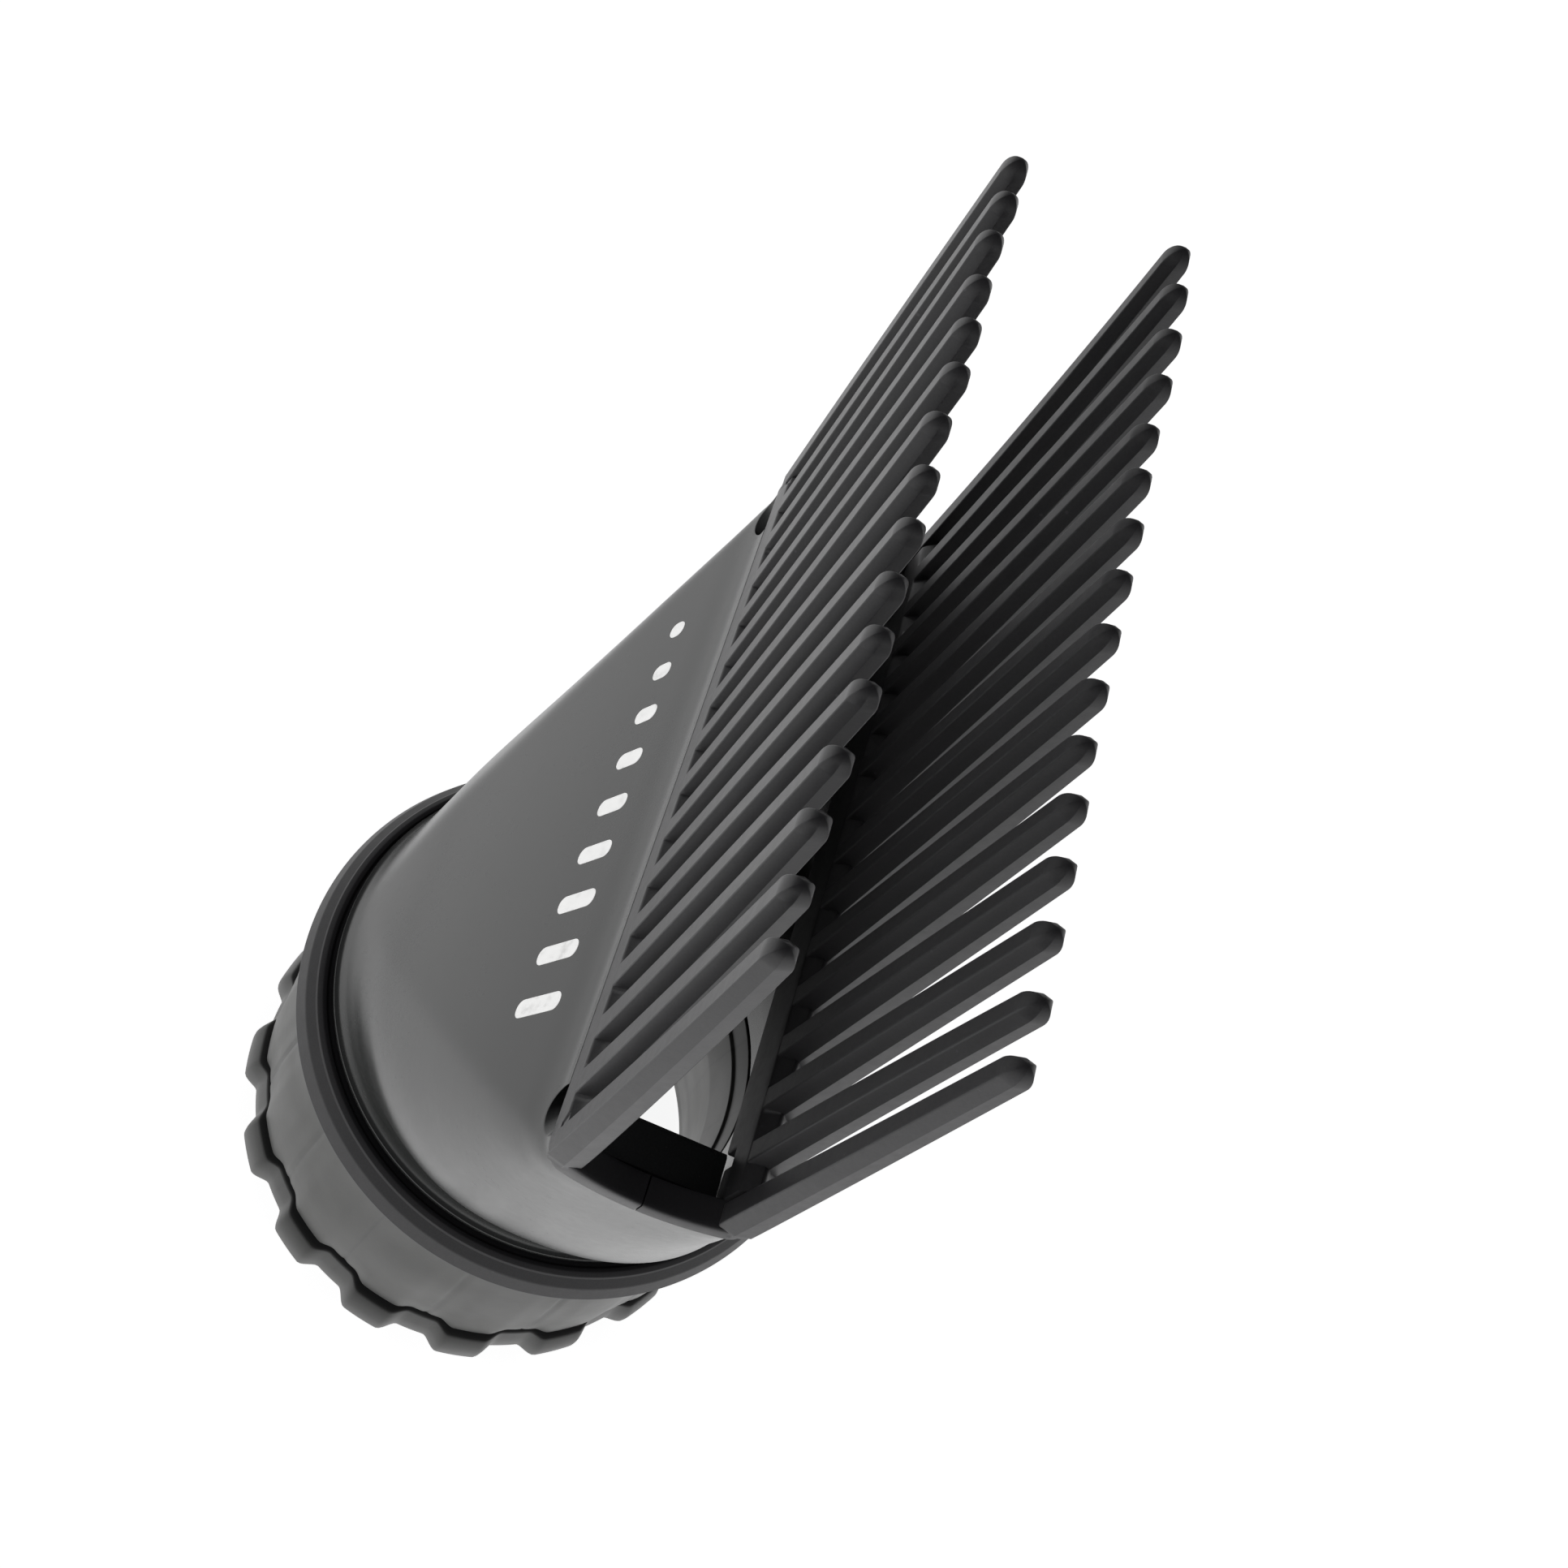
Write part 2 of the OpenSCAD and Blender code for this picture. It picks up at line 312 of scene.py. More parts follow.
def sleeve_material():
    """Translucent smoky silicone, darker towards the lip below the fold, with a painted shadow along the fold above the
    lip and painted shade in the creases.
    """
    mat = bpy.data.materials.new("sleeve_silicone")
    nt, sh = nodes_of(mat)
    co = nt.nodes.new("ShaderNodeTexCoord").outputs["Object"]
    sep = nt.nodes.new("ShaderNodeSeparateXYZ")
    nt.links.new(co, sep.inputs[0])
    # distance from the nearest petal crest, 0 at the crest and 1 in the crease
    ang = mathn(nt, "ARCTAN2", sep.outputs[1], sep.outputs[0])
    turn = mathn(nt, "MULTIPLY", mathn(nt, "ADD", ang, math.radians(0.45)), LOBES / (2 * math.pi))
    crease = mathn(nt, "MULTIPLY", mathn(nt, "ABSOLUTE", mathn(nt, "SUBTRACT", mathn(nt, "FRACT", mathn(nt, "ADD", turn, 40.0)), 0.5)), 2.0)
    fold = mathn(nt, "POWER", crease, 3.0)
    zmm = mathn(nt, "MULTIPLY", sep.outputs[2], 1000.0)
    # painted fold shadow: a near-black band that hangs lower between the creases
    fold_shadow_dz = mathn(nt, "SUBTRACT", zmm, mathn(nt, "ADD", 8.6, mathn(nt, "MULTIPLY", fold, 0.4)))
    painted_fold_shadow = mathn(nt, "POWER", 2.718, mathn(nt, "MULTIPLY", mathn(nt, "MULTIPLY", fold_shadow_dz, fold_shadow_dz), -0.32))
    cloud = noise(nt, co, 70, 4, 0.6)
    fine = noise(nt, co, 3800, 2, 0.6)
    swirl = noise(nt, co, 160, 4, 0.6, stretch=(1, 1, 0.35))
    base = ramp(nt, [(0.30, (0.034, 0.0352, 0.0312)), (0.70, (0.050, 0.0515, 0.0460))], cloud)
    base = mixc(nt, base, (0.034, 0.0345, 0.0318), ramp(nt, [(0.42, 0.0), (0.70, 0.55)], swirl))
    grad = nt.nodes.new("ShaderNodeMapRange")
    grad.inputs["From Min"].default_value, grad.inputs["From Max"].default_value = 8.5, 5.0
    nt.links.new(zmm, grad.inputs["Value"])
    base = mixc(nt, base, (0.030, 0.0303, 0.0290), mathn(nt, "MULTIPLY", grad.outputs[0], 0.70))
    # painted shade: darker colour in the middle of each crease between petals
    painted_crease_shade = mathn(nt, "MULTIPLY", mathn(nt, "POWER", crease, 22.0), 0.55)
    base = mixc(nt, base, (0.018, 0.018, 0.018), painted_crease_shade)
    # painted shadow: near-black colour along the fold above the lip, where the fold shades the surface
    base = mixc(nt, base, (0.004, 0.004, 0.0045), mathn(nt, "MULTIPLY", painted_fold_shadow, 0.97))
    base = mixc(nt, base, ramp(nt, [(0.35, 0.92), (0.65, 1.08)], fine), 0.6, "MULTIPLY")
    nt.links.new(base, sh.inputs["Base Color"])
    rg = nt.nodes.new("ShaderNodeMapRange")
    rg.inputs["From Min"].default_value, rg.inputs["From Max"].default_value = 0.3, 0.7
    rg.inputs["To Min"].default_value, rg.inputs["To Max"].default_value = 0.36, 0.48
    nt.links.new(cloud, rg.inputs["Value"])
    nt.links.new(rg.outputs[0], sh.inputs["Roughness"])
    sh.inputs["Subsurface Weight"].default_value = 0.25
    sh.inputs["Subsurface Scale"].default_value = 0.003
    sh.inputs["Subsurface Radius"].default_value = (1.0, 0.95, 0.85)
    sh.inputs["Specular IOR Level"].default_value = 0.45
    b = nt.nodes.new("ShaderNodeBump")
    b.inputs["Strength"].default_value = 0.4
    b.inputs["Distance"].default_value = 0.00002
    nt.links.new(mathn(nt, "ADD", mathn(nt, "MULTIPLY", fine, 0.5), swirl), b.inputs["Height"])
    nt.links.new(b.outputs[0], sh.inputs["Normal"])
    return mat


def ink_material():
    mat = bpy.data.materials.new("pad_print_ink")
    nt, sh = nodes_of(mat)
    co = nt.nodes.new("ShaderNodeTexCoord").outputs["Object"]
    worn = noise(nt, co, 900, 4, 0.65)
    base = ramp(nt, [(0.30, (0.62, 0.62, 0.61)), (0.45, (0.80, 0.80, 0.79)), (0.75, (0.86, 0.86, 0.85))], worn)
    nt.links.new(base, sh.inputs["Base Color"])
    nt.links.new(ramp(nt, [(0.3, 0.42), (0.7, 0.58)], worn), sh.inputs["Roughness"])
    b = nt.nodes.new("ShaderNodeBump")
    b.inputs["Strength"].default_value = 0.3
    b.inputs["Distance"].default_value = 0.000008
    nt.links.new(noise(nt, co, 3000, 2), b.inputs["Height"])
    nt.links.new(b.outputs[0], sh.inputs["Normal"])
    # painted glow: the print ink gives off light of its own, so it reads brighter than the lamps make it
    nt.links.new(base, sh.inputs["Emission Color"])
    sh.inputs["Emission Strength"].default_value = 0.45
    return mat


LOBES = 16
SLEEVE = sleeve_material()
INK = ink_material()


# ---------------------------------------------------------------- funnel
ZF = [43.9, 46.2, 48.6, 52.4, 56.8, 61.6, 71.2, 80.8, 90.4, 94.0, 95.6, 96.6]
A = curve(ZF, [29.5, 28.75, 28.9, 30.2, 31.8, 32.8, 34.2, 35.4, 36.5, 36.95, 37.1, 37.2])
B = curve(ZF, [29.5, 28.55, 27.75, 26.35, 24.6, 22.6, 18.7, 14.8, 10.9, 9.48, 9.02, 8.93])
XF = curve(ZF, [0.01, 0.4, 1.7, 4.9, 9.0, 12.7, 19.5, 26.0, 32.1, 34.4, 35.0, 35.3])
NE = curve(ZF, [2.0, 2.02, 2.08, 2.22, 2.4, 2.6, 2.95, 3.6, 6.0, 9.0, 11.0, 12.0])
SG = curve(ZF, [1.0, 1.0, 1.0, 1.0, 0.95, 0.9, 0.85, 0.8, 0.65, 0.55, 0.5, 0.5])
WALL = 1.8


def quarter(z, inset, m=1024):
    """Cross-section of the funnel at height z, from the middle of the end to the middle of the face."""
    a, b, xf, n, sg = float(A(z)) - inset, float(B(z)) - inset, float(XF(z)), float(NE(z)), float(SG(z))
    xf = min(xf, a - 1.2) * (a / (a + inset))
    c = b / (1 - (xf / a) ** n) ** (1 / n)
    t = np.linspace(0, 1, 500)
    y = b * np.sin(t * math.pi / 2)
    x = a * np.clip(1 - (y / c) ** n, 0, None) ** (1 / n)
    xs = np.concatenate([x, np.linspace(xf, 0, 200)[1:]])
    ys = np.concatenate([y, np.full(199, b)])
    X = np.concatenate([xs, -xs[::-1][1:], -xs[1:], xs[::-1][1:]])
    Y = np.concatenate([ys, ys[::-1][1:], -ys[1:], -ys[::-1][1:]])
    s = np.concatenate([[0], np.cumsum(np.hypot(np.diff(X), np.diff(Y)))])
    u = np.linspace(0, s[-1], 4 * m, endpoint=False)
    px, py = np.interp(u, s, X), np.interp(u, s, Y)
    freq = np.fft.fftfreq(4 * m, d=s[-1] / (4 * m))
    g = np.exp(-2 * (math.pi * freq * sg) ** 2)
    px, py = np.fft.ifft(np.fft.fft(px) * g).real, np.fft.ifft(np.fft.fft(py) * g).real
    px, py = px * (a / px.max()), py * (b / py.max())
    s = np.concatenate([[0], np.cumsum(np.hypot(np.diff(px[: m + 1]), np.diff(py[: m + 1])))])
    q = np.linspace(0, 1, m + 1)
    return np.interp(q, s / s[-1], px[: m + 1]), np.interp(q, s / s[-1], py[: m + 1])


LEVELS = np.linspace(43.9, 96.6, 150)
TAB = [[quarter(z, w) for z in LEVELS] for w in (0.0, WALL)]
TAB = np.array(TAB)  # skin, level, xy, fraction


def on_skin(skin, q, z):
    """Point of the outer (0) or inner (1) skin at quarter fraction q and height z."""
    lz = np.clip((np.asarray(z) - LEVELS[0]) / (LEVELS[1] - LEVELS[0]), 0, len(LEVELS) - 1.001)
    k = lz.astype(int)
    f = lz - k
    m = TAB.shape[3] - 1
    lq = np.clip(np.asarray(q) * m, 0, m - 1e-6)
    i = lq.astype(int)
    g = lq - i
    out = []
    for c in (0, 1):
        t = TAB[skin, :, c, :]
        v0 = t[k, i] * (1 - g) + t[k, i + 1] * g
        v1 = t[k + 1, i] * (1 - g) + t[k + 1, i + 1] * g
        out.append(v0 * (1 - f) + v1 * f)
    return out


SPLIT, SCOOP_R, SCOOP_Z = 96.6, 13.4, 109.1
LAND = math.sqrt((SCOOP_Z - SPLIT) ** 2 + 8.7**2) - SCOOP_R
WIN_X, WIN_R = 32.9, 2.4

x_top, y_top = TAB[0, -1, 0], TAB[0, -1, 1]
q_grid = np.linspace(0, 1, len(x_top))
q_of_y = lambda y: float(np.interp(y, y_top[: np.argmax(y_top > 8.6)], q_grid[: np.argmax(y_top > 8.6)]))
q_of_x = lambda x: float(np.interp(-x, -x_top[np.argmax(y_top > 8.9):], q_grid[np.argmax(y_top > 8.9):]))
qs, notch = [], []
for y in np.linspace(0, 8.2, 15):
    qs.append(q_of_y(y)); notch.append(None)
q_a, q_b = q_of_y(8.2), q_of_x(WIN_X + WIN_R + 0.05)
for t in np.linspace(0, 1, 10)[1:-1]:
    qs.append(q_a + (q_b - q_a) * t); notch.append(None)
for th in np.linspace(0, math.pi, 25):
    qs.append(q_of_x(WIN_X + WIN_R * math.cos(th))); notch.append(th)
for x in np.linspace(WIN_X - WIN_R - 0.5, 0, 42):
    qs.append(q_of_x(x)); notch.append(None)
qs[-1] = 1.0
q_top = np.array(qs)
NQ = len(q_top)
q_foot = np.linspace(0, 1, NQ)
th_n = np.array([t if t is not None else 0.0 for t in notch])
in_n = np.array([t is not None for t in notch])
z_rim = np.full(NQ, SPLIT)
for _ in range(3):
    tau = (z_rim - 43.9) / (SPLIT - 43.9)
    yy = on_skin(0, q_foot + (q_top - q_foot) * tau, z_rim)[1]
    sc = SCOOP_Z - np.sqrt(np.clip((SCOOP_R + LAND) ** 2 - yy**2, 0, None))
    z_rim = np.where((yy < 8.7) & ~in_n & (np.arange(NQ) < 24), np.minimum(sc, SPLIT), SPLIT)
z_rim = np.where(in_n, SPLIT - WIN_R * np.sin(th_n), z_rim)


def skin_row(skin, z, dx=0.0):
    tau = np.clip((z - 43.9) / (SPLIT - 43.9), 0, 1)
    x, y = on_skin(skin, q_foot + (q_top - q_foot) * tau, z)
    return np.stack([x + dx, y, z], 1)


def full(row):
    """Mirrors a quarter row all the way round."""
    a = row
    b = row[::-1][1:] * [-1, 1, 1]
    c = row[1:] * [-1, -1, 1]
    d = row[::-1][1:-1] * [1, -1, 1]
    return np.concatenate([a, b, c, d])


def shift(d):
    return np.where(in_n, d * np.cos(th_n), 0.0)


E = 0.05
rows = []
z_lo = 45.6
ts = np.concatenate([np.linspace(0, 0.9, 58), 0.9 + 0.1 * (1 - (1 - np.linspace(0, 1, 14)[1:]) ** 1.3)])
for t in ts:
    zt = z_rim - E
    rows.append(skin_row(0, z_lo + (zt - z_lo) * t, shift(E) * t**12))


def blend_row(off, drop):
    zt = z_rim - drop
    o, i = skin_row(0, zt, shift(drop)), skin_row(1, zt, shift(drop))
    return o + (i - o) * (off / WALL)


for off, drop in ((0.015, 0.015), (E, 0.0), (WALL * 0.5, 0.0), (WALL - E, 0.0), (WALL - 0.015, 0.015)):
    rows.append(blend_row(off, drop))
for t in ts[::-2]:
    zt = z_rim - E
    row = skin_row(1, 46.6 + (zt - 46.6) * t, shift(E) * t**12)
    zr = row[:, 2]
    w = np.clip((60.0 - zr) / 13.4, 0, 1)
    w = w * w * (3 - 2 * w)
    rc = 23.95 + (zr - 42.0) * 0.06
    row[:, 0] += (rc * np.cos(q_foot * math.pi / 2) - row[:, 0]) * w
    row[:, 1] += (rc * np.sin(q_foot * math.pi / 2) - row[:, 1]) * w
    rows.append(row)
phi = q_foot * math.pi / 2
for r, z in ((24.15, 45.5), (24.05, 44.3), (23.97, 43.0), (23.92, 42.0), (23.9, 41.0), (23.9, 37.0),
             (24.0, 36.7), (24.2, 36.6), (25.3, 36.6), (25.5, 36.68), (26.75, 37.5), (26.9, 37.75), (26.9, 38.15), (26.75, 38.38),
             (26.0, 38.85), (25.9, 39.0), (25.9, 41.0), (25.9, 43.6), (26.0, 43.85), (26.2, 43.9), (29.1, 43.9), (29.36, 43.98), (29.46, 44.15), (29.48, 44.7), (29.42, 44.86), (29.16, 44.98),
             (29.0, 45.1), (28.96, 45.25)):
    rows.append(np.stack([r * np.cos(phi), r * np.sin(phi), np.full(NQ, z)], 1))
ring_rows = [full(r) for r in rows]
NC = len(ring_rows[0])
funnel = make("funnel", np.concatenate(ring_rows), grid_faces(len(ring_rows), NC, True, True))

# ledge at each end of the slot, below the scooped lands
for s in (1, -1):
    out = [(30.0, 90.5), (30.0, 94.6), (30.15, 94.95), (30.6, 95.2), (34.2, 95.2), (34.5, 94.9), (34.5, 93.4), (35.8, 93.0), (34.0, 80.6)]
    led = prism("ledge", [(s * x, z) for x, z in out], -5.8, 5.8)
    boolean(funnel, led)
finish_mesh(funnel, FUNNEL, 38)


# ---------------------------------------------------------------- combs
def scoop_top(x, y):
    if abs(x) < 34.5:
        return 100.0
    return min(100.0, SCOOP_Z - math.sqrt(max(SCOOP_R**2 - y * y, 0)))


def scoop_bottom(x, y):
    if abs(x) < 34.5 or abs(y) > 8.7:
        return SPLIT + 0.02
    return min(SPLIT + 0.02, SCOOP_Z - math.sqrt(max((SCOOP_R + LAND - 0.02) ** 2 - y * y, 0)))


def comb_base():
    half = []
    for y in np.linspace(-0.07, -5.9, 26):
        half.append(((37.2, y), (34.58, y)))
    for y in np.linspace(-5.9, -7.3, 7)[1:]:
        half.append(((37.2, y), (34.58, -5.9)))
    for t in np.linspace(0, 90, 11)[1:]:
        t = math.radians(t)
        half.append(((35.6 + 1.6 * math.cos(t), -7.3 - 1.6 * math.sin(t)), (34.58, -5.9)))
    for x in (35.25, 34.95, 34.75, 34.58):
        half.append(((x, -8.9), (34.58, -5.9)))
    mid = [((x, -8.9), (x, -5.9)) for x in np.linspace(34.0, 0, 40)]
    cols = half + mid
    cols = cols + [((-o[0], o[1]), (-i[0], i[1])) for o, i in cols[::-1][1:]]
    e, eo = 0.04, 0.26
    pts = []
    for o, i in cols:
        o, i = np.array(o), np.array(i)
        w = np.linalg.norm(i - o)
        n = (i - o) / w
        ax = abs(o[0])
        web = 1.0 if ax <= 34.76 else max(0.0, (35.25 - ax) / 0.5)
        web = min(1.0, web)

        def at(d, z=None, web_z=None, bottom=False, up=0.0):
            p = o + n * d
            zz = scoop_bottom(p[0], p[1]) if bottom else scoop_top(p[0], p[1])
            if web_z is not None:
                zz = zz + (web_z - zz) * web
            return (p[0], p[1], zz + up)

        k = w / 3.0
        ring = [
            at(w - e, bottom=True), at(w * 0.5, bottom=True), at(e, bottom=True),
            at(0.3 * e, bottom=True, up=0.3 * e), at(0.0, bottom=True, up=e),
            at(0.0, bottom=True, up=1.2),
            at(0.0, up=-eo), at(0.04, up=-0.5 * eo), at(0.12, up=-0.16 * eo), at(eo * 0.8, web_z=100.04),
            at(0.62 * k, web_z=100.35), at(1.0 * k, web_z=100.75), at(1.28 * k, web_z=101.2), at(1.42 * k, web_z=101.4), at(1.6 * k, web_z=101.5),
            at(1.82 * k, web_z=101.5), at(1.95 * k, web_z=101.4), at(2.4 * k, web_z=100.9), at(2.75 * k, web_z=100.5),
            at(w - 0.09, web_z=100.25, up=-0.3 * e * (1 - web)), at(w, web_z=100.05, up=-e * (1 - web)),
            at(w, up=-1.0), at(w, bottom=True, up=e), at(w - 0.3 * e, bottom=True, up=0.3 * e),
        ]
        pts.append(ring)
    nr = len(pts[0])
    v = [p for ring in pts for p in ring]
    f = grid_faces(len(pts), nr, False, True)
    f.append(tuple(range(nr)))
    f.append(tuple(range((len(pts) - 1) * nr, len(pts) * nr))[::-1])
    return make("comb_base", v, f)


def tooth(x0, bend, low):
    """One drafted hexagonal tooth with a rounded tip; low is where it leaves its strip."""
    w, f, d = 2.7, 1.96, 3.0
    hexa = rounded_polygon([(-f / 2, 0, 0.16), (f / 2, 0, 0.16), (w / 2, d * 0.5, 0.10), (f / 2 * 0.96, d, 0.22), (-f / 2 * 0.96, d, 0.22), (-w / 2, d * 0.5, 0.10)], 3)
    hexa = np.array(hexa)
    z0, z1, zt = low - 0.9, 138.15, 139.78
    pts = []
    rows_z = [z0, low - 0.35, low, low + 0.35, low + 0.8] + list(np.linspace(low + 1.6, z1, 14))
    for z in rows_z:
        t = max(0.0, (z - 100) / (138 - 100))
        sx, sy = 1 - 0.30 * t, 1 - 0.31 * t
        flare = 1 if abs(x0) > 35 else 1 + 0.12 * math.exp(-max(0, z - low) / 0.5)
        emerge = 0.22 * max(0.0, min(1.0, (low - z) / 0.35)) + 0.0
        px = hexa[:, 0] * sx * flare
        py = hexa[:, 1] * sy
        if z <= low - 0.3:
            px, py = px * 0.93, 0.22 + py * 0.88
        y = -8.92 + 0.10 * t + py
        pts.append([(x0 + bend[0] * t * t + a, b + bend[1] * t * t, z) for a, b in zip(px, y)])
    t = 1.0
    sx, sy = 1 - 0.30 * t, 1 - 0.31 * t
    cy = d * sy / 2
    for h in (0.12, 0.26, 0.40, 0.54, 0.67, 0.78, 0.87, 0.94, 0.98):
        s = (1 - h**1.9) ** (1 / 1.9)
        z = z1 + (zt - z1) * h
        px = hexa[:, 0] * sx * s
        py = cy + (hexa[:, 1] * sy - cy) * s
        pts.append([(x0 + bend[0] + a, -8.82 + bend[1] + b, z) for a, b in zip(px, py)])
    nr = len(hexa)
    v = [p for ring in pts for p in ring]
    v.append((x0 + bend[0], -8.82 + bend[1] + cy, zt))
    fc = grid_faces(len(pts), nr, False, True)
    fc.append(tuple(range(nr))[::-1])
    top = (len(pts) - 1) * nr
    fc += [(top + i, top + (i + 1) % nr, len(v) - 1) for i in range(nr)]
    return make("tooth", v, fc)


# how far each moulded tip leans in x and y, from the +X end; no two teeth cool alike
LEAN_F = [(-0.67, -0.14), (-0.08, -0.28), (0.08, -0.38), (0.08, -0.14), (-0.55, 0.36), (-0.07, 0.18), (0.26, 0.07), (0.19, 0.19),
          (0.16, 0.14), (-0.03, -0.1), (-0.4, 0.19), (-0.18, 0.08), (0.05, -0.07), (-0.13, -0.14), (-0.08, 0.1), (0.5, 0.08)]
LEAN_R = [(-0.17, 0.02), (0.18, 0.25), (0.07, 0.16), (0.14, 0.08), (0.1, 0.02), (0.33, -0.19), (0.36, -0.16), (0.32, -0.11),
          (0.12, -0.04), (0.03, 0.02), (-0.03, -0.15), (0.25, -0.24), (-0.39, -0.02), (-0.66, 0.01), (-0.9, -0.23), (-0.32, -0.7)]


def comb(name, mat, lean):
    base = comb_base()
    teeth = []
    for i in range(16):
        x = (i - 7.5) * 4.8
        teeth.append(tooth(x, lean[i], 97.6 if i in (0, 15) else 99.9))
    boolean(base, joined("teeth", teeth))
    extras = [bevelled_box("tongue", (-29.9, -6.95, 94.2), (29.9, -5.95, 97.8), 0.2)]
    for s in (-1, 1):
        extras.append(bevelled_box("hook", (s * WIN_X - 1.6, -6.95, 94.6), (s * WIN_X + 1.6, -6.0, 97.8), 0.2))
    boolean(base, joined("extras", extras))
    base.name = name
    finish_mesh(base, mat, 30)
    return base


front = comb("front_comb_teeth", TEETH_F, LEAN_F[::-1])
rear = comb("rear_comb_teeth", TEETH_R, [(-a, -b) for a, b in LEAN_R])
rear.data.transform(Matrix.Rotation(math.pi, 4, "Z"))


# ---------------------------------------------------------------- collar ring
def lathe(name, profile, n, lobes=None):
    th = np.linspace(0, 2 * math.pi, n, endpoint=False)
    rows_ = []
    for r, z in profile:
        rows_.append(np.stack([r * np.cos(th), r * np.sin(th), np.full(n, z)], 1))
    return make(name, np.concatenate(rows_), grid_faces(len(profile), n, True, True))


ring_profile = rounded_polygon(
    [(25.95, 39.2, 0.2), (25.95, 43.0, 0.2), (29.8, 43.0, 0.2), (30.0, 43.42, 0.12), (30.45, 43.5, 0.3), (31.0, 43.2, 0.2), (31.15, 42.9, 0.12),
     (32.1, 41.9, 0.8), (32.85, 39.75, 0.3), (32.6, 39.35, 0.15), (31.0, 39.35, 0.1), (31.0, 41.0, 0.05), (28.62, 41.0, 0.05), (28.6, 33.45, 0.2), (27.4, 33.45, 0.2), (27.4, 39.2, 0.1)], 3)
ring = lathe("collar_ring_body", ring_profile, 288)
finish_mesh(ring, RING, 40)


# ---------------------------------------------------------------- sleeve
ZS = [0.0, 0.15, 0.6, 1.4, 2.6, 4.2, 6.0, 7.6, 8.6, 9.4, 10.3, 11.5, 14.0, 18.0, 24.0, 30.0, 34.0, 38.0, 40.95]
CREST = curve(ZS, [33.1, 33.5, 33.9, 34.08, 34.1, 34.0, 33.6, 32.95, 32.45, 32.25, 32.25, 32.3, 32.25, 32.1, 31.7, 31.1, 30.8, 30.65, 30.6])
VALLEY = curve(ZS, [31.4, 31.8, 32.2, 32.4, 32.45, 32.4, 32.15, 31.85, 31.65, 31.6, 31.7, 31.85, 31.95, 31.85, 31.5, 31.0, 30.75, 30.62, 30.6])
n_th = LOBES * 36
th = np.linspace(0, 2 * math.pi, n_th, endpoint=False)
ph = np.abs(((th + math.radians(0.45)) * LOBES / (2 * math.pi) + 40) % 1.0 - 0.5) * 2  # 1 in the crease
lobe = np.clip((0.72 - ph) / 0.36, 0, 1)
petal = lobe * lobe * (3 - 2 * lobe)  # 1 on the flat of a lobe, 0 in the valley
groove = np.exp(-(((1 - ph) / 0.05) ** 2))  # fine crease in the middle of each valley
srows = []
zs = np.concatenate([[0, 0.15, 0.35, 0.6, 1.0, 1.4, 2.0, 2.6, 3.4, 4.2, 5.1, 6.0, 6.7, 7.2, 7.5, 7.65, 7.8, 7.95, 8.1, 8.3, 8.5, 8.75, 8.95, 9.1, 9.25, 9.4, 9.55, 9.75, 10.1, 10.6, 11.5, 12.5], np.linspace(14, 39.5, 18), [40.6, 40.85]])
for z in zs:
    r = float(VALLEY(z)) + (float(CREST(z)) - float(VALLEY(z))) * petal
    r = r - 0.22 * groove * float(np.clip((38 - z) / 8, 0, 1)) * float(np.clip((z - 8.5) / 2, 0, 1))
    zc = 8.75 - 0.3 * petal
    r = r - 1.25 * np.exp(-(((z - zc) / 0.66) ** 4))
    zz = np.full(n_th, z)
    # the fold sits a little lower at the middle of each petal
    zz = zz - 0.45 * petal * math.exp(-((z - 9.4) / 2.0) ** 2) + 0.2 * math.exp(-((z - 9.4) / 2.0) ** 2)
    srows.append(np.stack([r * np.cos(th), r * np.sin(th), zz], 1))
inner = [(30.45, 40.95), (28.75, 40.95), (28.62, 40.8), (28.62, 37), (28.62, 33.4), (28.75, 32.0), (29.25, 24.0), (29.6, 16), (29.7, 12.0), (29.6, 8.0), (29.3, 6.2),
         (28.9, 7.0), (28.2, 11.0), (25.45, 24.0), (25.15, 35.8), (25.1, 36.1), (25.0, 36.2), (24.1, 36.2), (23.95, 36.1), (23.9, 35.9), (23.88, 32.2), (23.8, 31.8), (23.55, 31.6), (23.5, 31.3), (23.5, 28), (23.5, 24.2),
         (23.55, 23.5), (24.6, 17.7), (26.2, 9.6), (27.7, 2.6), (27.82, 1.8), (27.85, 1.0), (28.0, 0.45), (28.3, 0.12), (28.8, 0.0), (30.2, 0.0)]
for r, z in inner:
    srows.append(np.stack([r * np.cos(th), r * np.sin(th), np.full(n_th, z)], 1))
sleeve = make("adapter_sleeve_rubber", np.concatenate(srows), grid_faces(len(srows), n_th, True, True))
finish_mesh(sleeve, SLEEVE, 50, weighted=False)


# ---------------------------------------------------------------- generic print on the front face
def bars():
    """A plain row of rounded bars of rising height, where the real one carries its print."""
    parts = []
    z_mid = 87.4
    slope = (float(B(84.0)) - float(B(88.0))) / 4.0
    nrm = Vector((0, -1, slope)).normalized()
    up = Vector((0, slope, 1)).normalized()
    for i in range(9):
        h = 2.0 + 4.4 * i / 8
        w = 1.9
        x = -22.0 + i * 5.4
        out = rounded_polygon([(-w / 2, -h / 2, 0.9), (w / 2, -h / 2, 0.9), (w / 2, h / 2, 0.9), (-w / 2, h / 2, 0.9)], 8)
        n = len(out)
        v = []
        for lift in (-0.02, 0.035):
            k = 1.0 if lift < 0 else 0.985
            for a, b in out:
                base = Vector((x, -float(B(z_mid)), z_mid)) + up * (b * k) + Vector((a * k, 0, 0)) + nrm * lift
                v.append(tuple(base))
        f = [tuple(range(n))[::-1], tuple(range(n, 2 * n))] + [(q, (q + 1) % n, n + (q + 1) % n, n + q) for q in range(n)]
        parts.append(make("bar", v, f))
    return joined("printed_bars", parts)


mark = bars()
finish_mesh(mark, INK, 30)


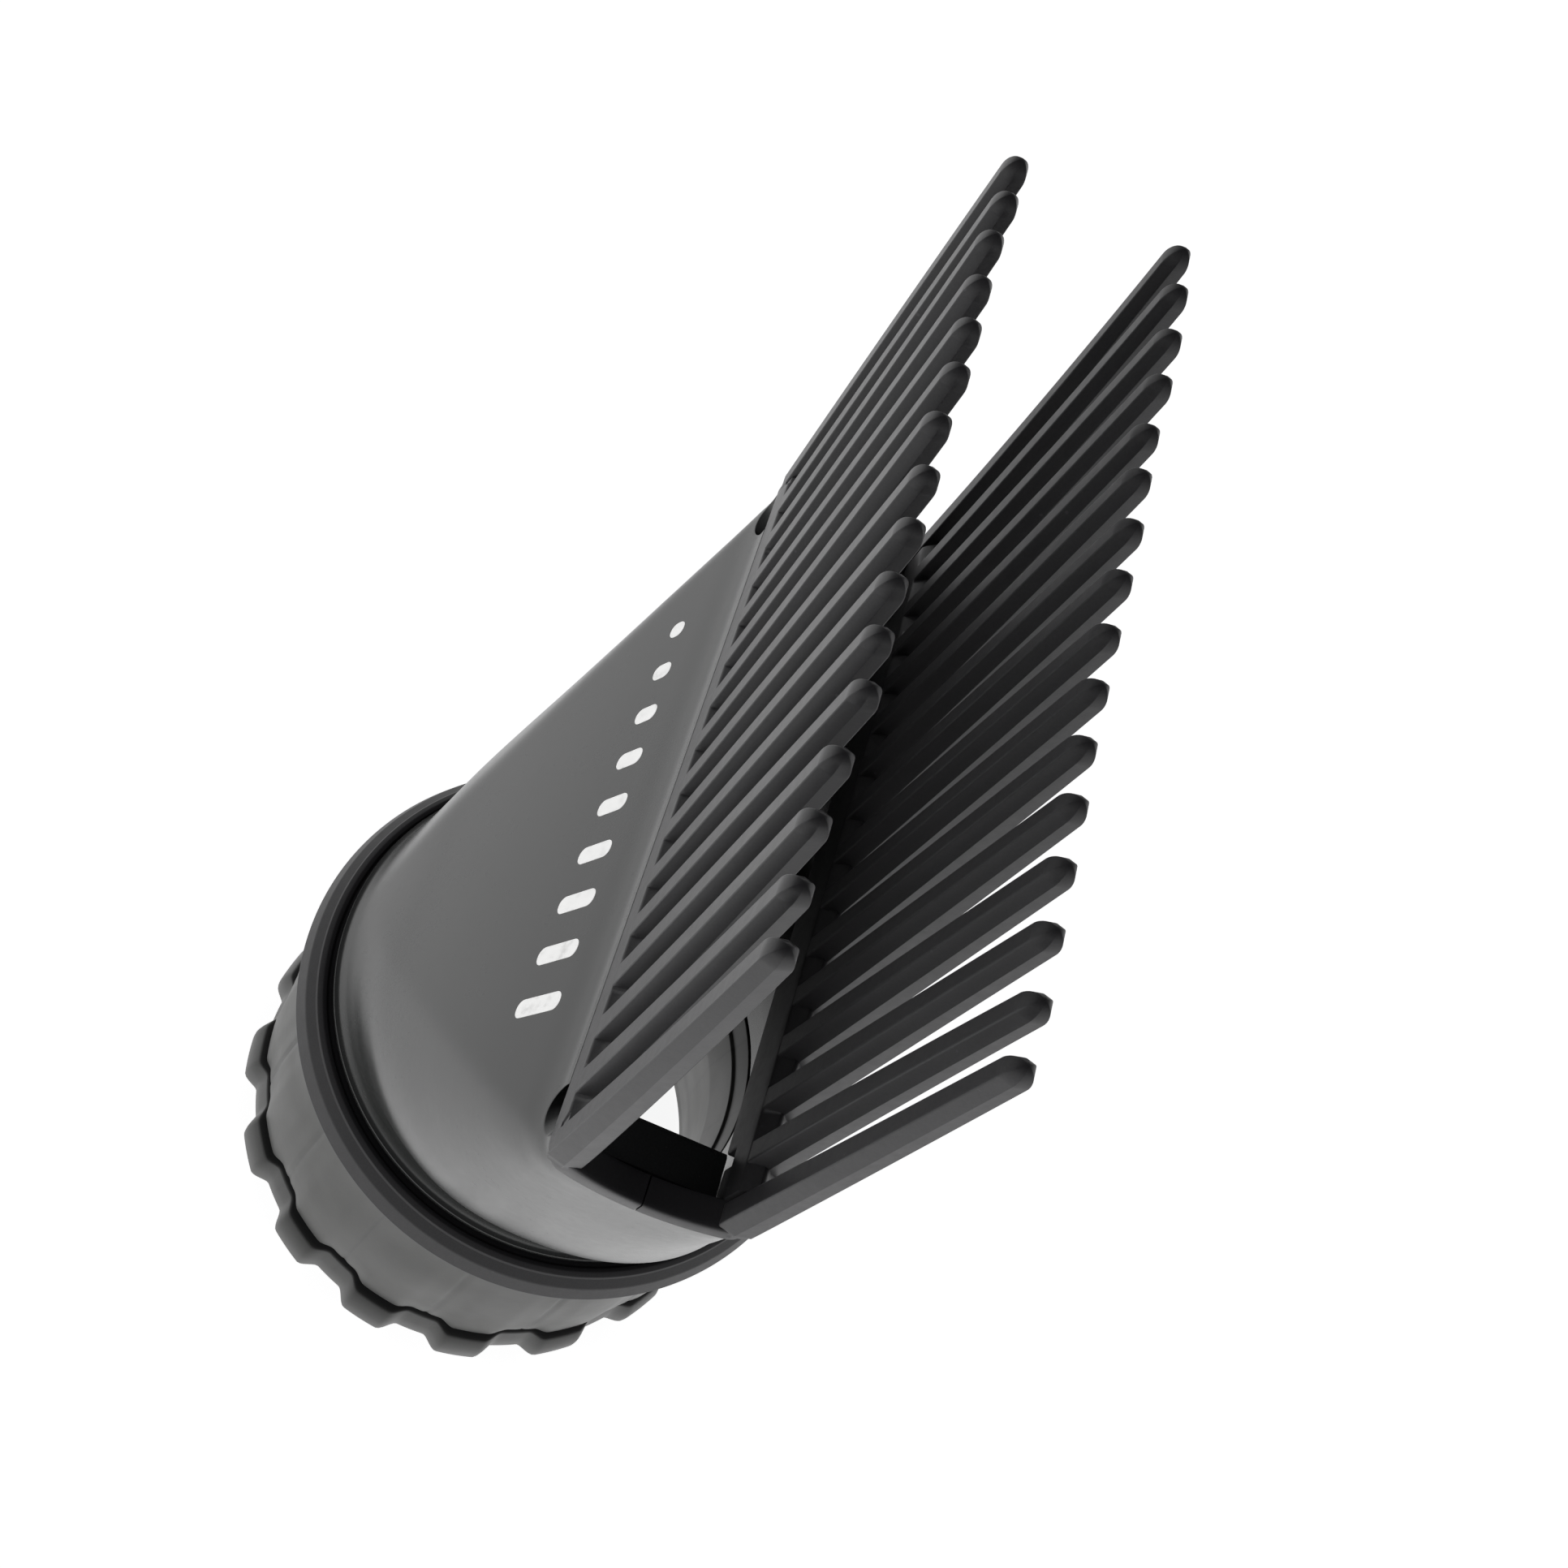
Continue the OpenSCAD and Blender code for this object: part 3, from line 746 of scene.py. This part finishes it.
# ---------------------------------------------------------------- riding the frame
for o, body, node in ((funnel, "nozzle", "nozzle_body"), (front, "nozzle", "front_comb"), (rear, "nozzle", "rear_comb"),
                      (ring, "collar", "collar_ring"), (sleeve, "collar", "adapter_sleeve")):
    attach(o, body)
    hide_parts(node)
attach(mark, "nozzle")


# ---------------------------------------------------------------- studio
floor_me = bpy.data.meshes.new("floor")
fs = 6.0
floor_me.from_pydata([(-fs, -fs, 0), (fs, -fs, 0), (fs, fs, 0), (-fs, fs, 0)], [], [(0, 1, 2, 3)])
floor = bpy.data.objects.new("floor", floor_me)
scene.collection.objects.link(floor)
floor.location.z = -0.0002
fm = bpy.data.materials.new("floor_paper")
fnt, fsh = nodes_of(fm)
fsh.inputs["Base Color"].default_value = (0.86, 0.86, 0.86, 1)
fsh.inputs["Roughness"].default_value = 0.9
fsh.inputs["Specular IOR Level"].default_value = 0.0
fsh.inputs["Emission Color"].default_value = (1.0, 1.0, 1.0, 1)
fsh.inputs["Emission Strength"].default_value = 0.90
floor_me.materials.append(fm)

world = bpy.data.worlds.new("studio")
scene.world = world
world.use_nodes = True
wt = world.node_tree
wt.nodes.clear()
w_out = wt.nodes.new("ShaderNodeOutputWorld")
bg = wt.nodes.new("ShaderNodeBackground")
wt.links.new(bg.outputs[0], w_out.inputs[0])
w_co = wt.nodes.new("ShaderNodeTexCoord").outputs["Generated"]
w_sep = wt.nodes.new("ShaderNodeSeparateXYZ")
wt.links.new(w_co, w_sep.inputs[0])
# pale at the horizon, dim overhead: the light comes from low down
w_ramp = ramp(wt, [(0.0, (1.0, 1.0, 1.0)), (0.05, (0.88, 0.88, 0.88)), (0.30, (0.24, 0.24, 0.245)), (1.0, (0.065, 0.063, 0.069))], w_sep.outputs[2])
wt.links.new(w_ramp, bg.inputs[0])
bg.inputs[1].default_value = 1.0


def softbox(name, place, size, power, target=(0.0, 0.0, 0.07)):
    d = bpy.data.lights.new(name, "AREA")
    d.shape, d.size, d.energy = "SQUARE", size, power
    o = bpy.data.objects.new(name, d)
    scene.collection.objects.link(o)
    o.location = place
    o.rotation_mode = "QUATERNION"
    o.rotation_quaternion = (Vector(target) - Vector(place)).to_track_quat("-Z", "Y")
    return o


softbox("key", (0.45, -0.95, 0.16), 0.5, 0.4)

cam_data = bpy.data.cameras.new("camera")
cam = bpy.data.objects.new("camera", cam_data)
scene.collection.objects.link(cam)
right = Vector((-0.272774, 0.890351, 0.364512))
down = Vector((0.840405, 0.404939, -0.360199))
ahead = Vector((-0.468309, 0.208085, -0.858713))
rot = Matrix((right, -down, -ahead)).transposed()
cam.matrix_world = Matrix.Translation((0.078174, -0.031128, 0.215025)) @ rot.to_4x4()
cam_data.sensor_width = 36.0
cam_data.lens = 1997.08 * 36 / 1932
cam_data.shift_x, cam_data.shift_y = 103.06 / 1932, 189.68 / 1932
cam_data.clip_start, cam_data.clip_end = 0.005, 50
cam_data.dof.use_dof = False
scene.camera = cam
scene.view_settings.view_transform = "Standard"
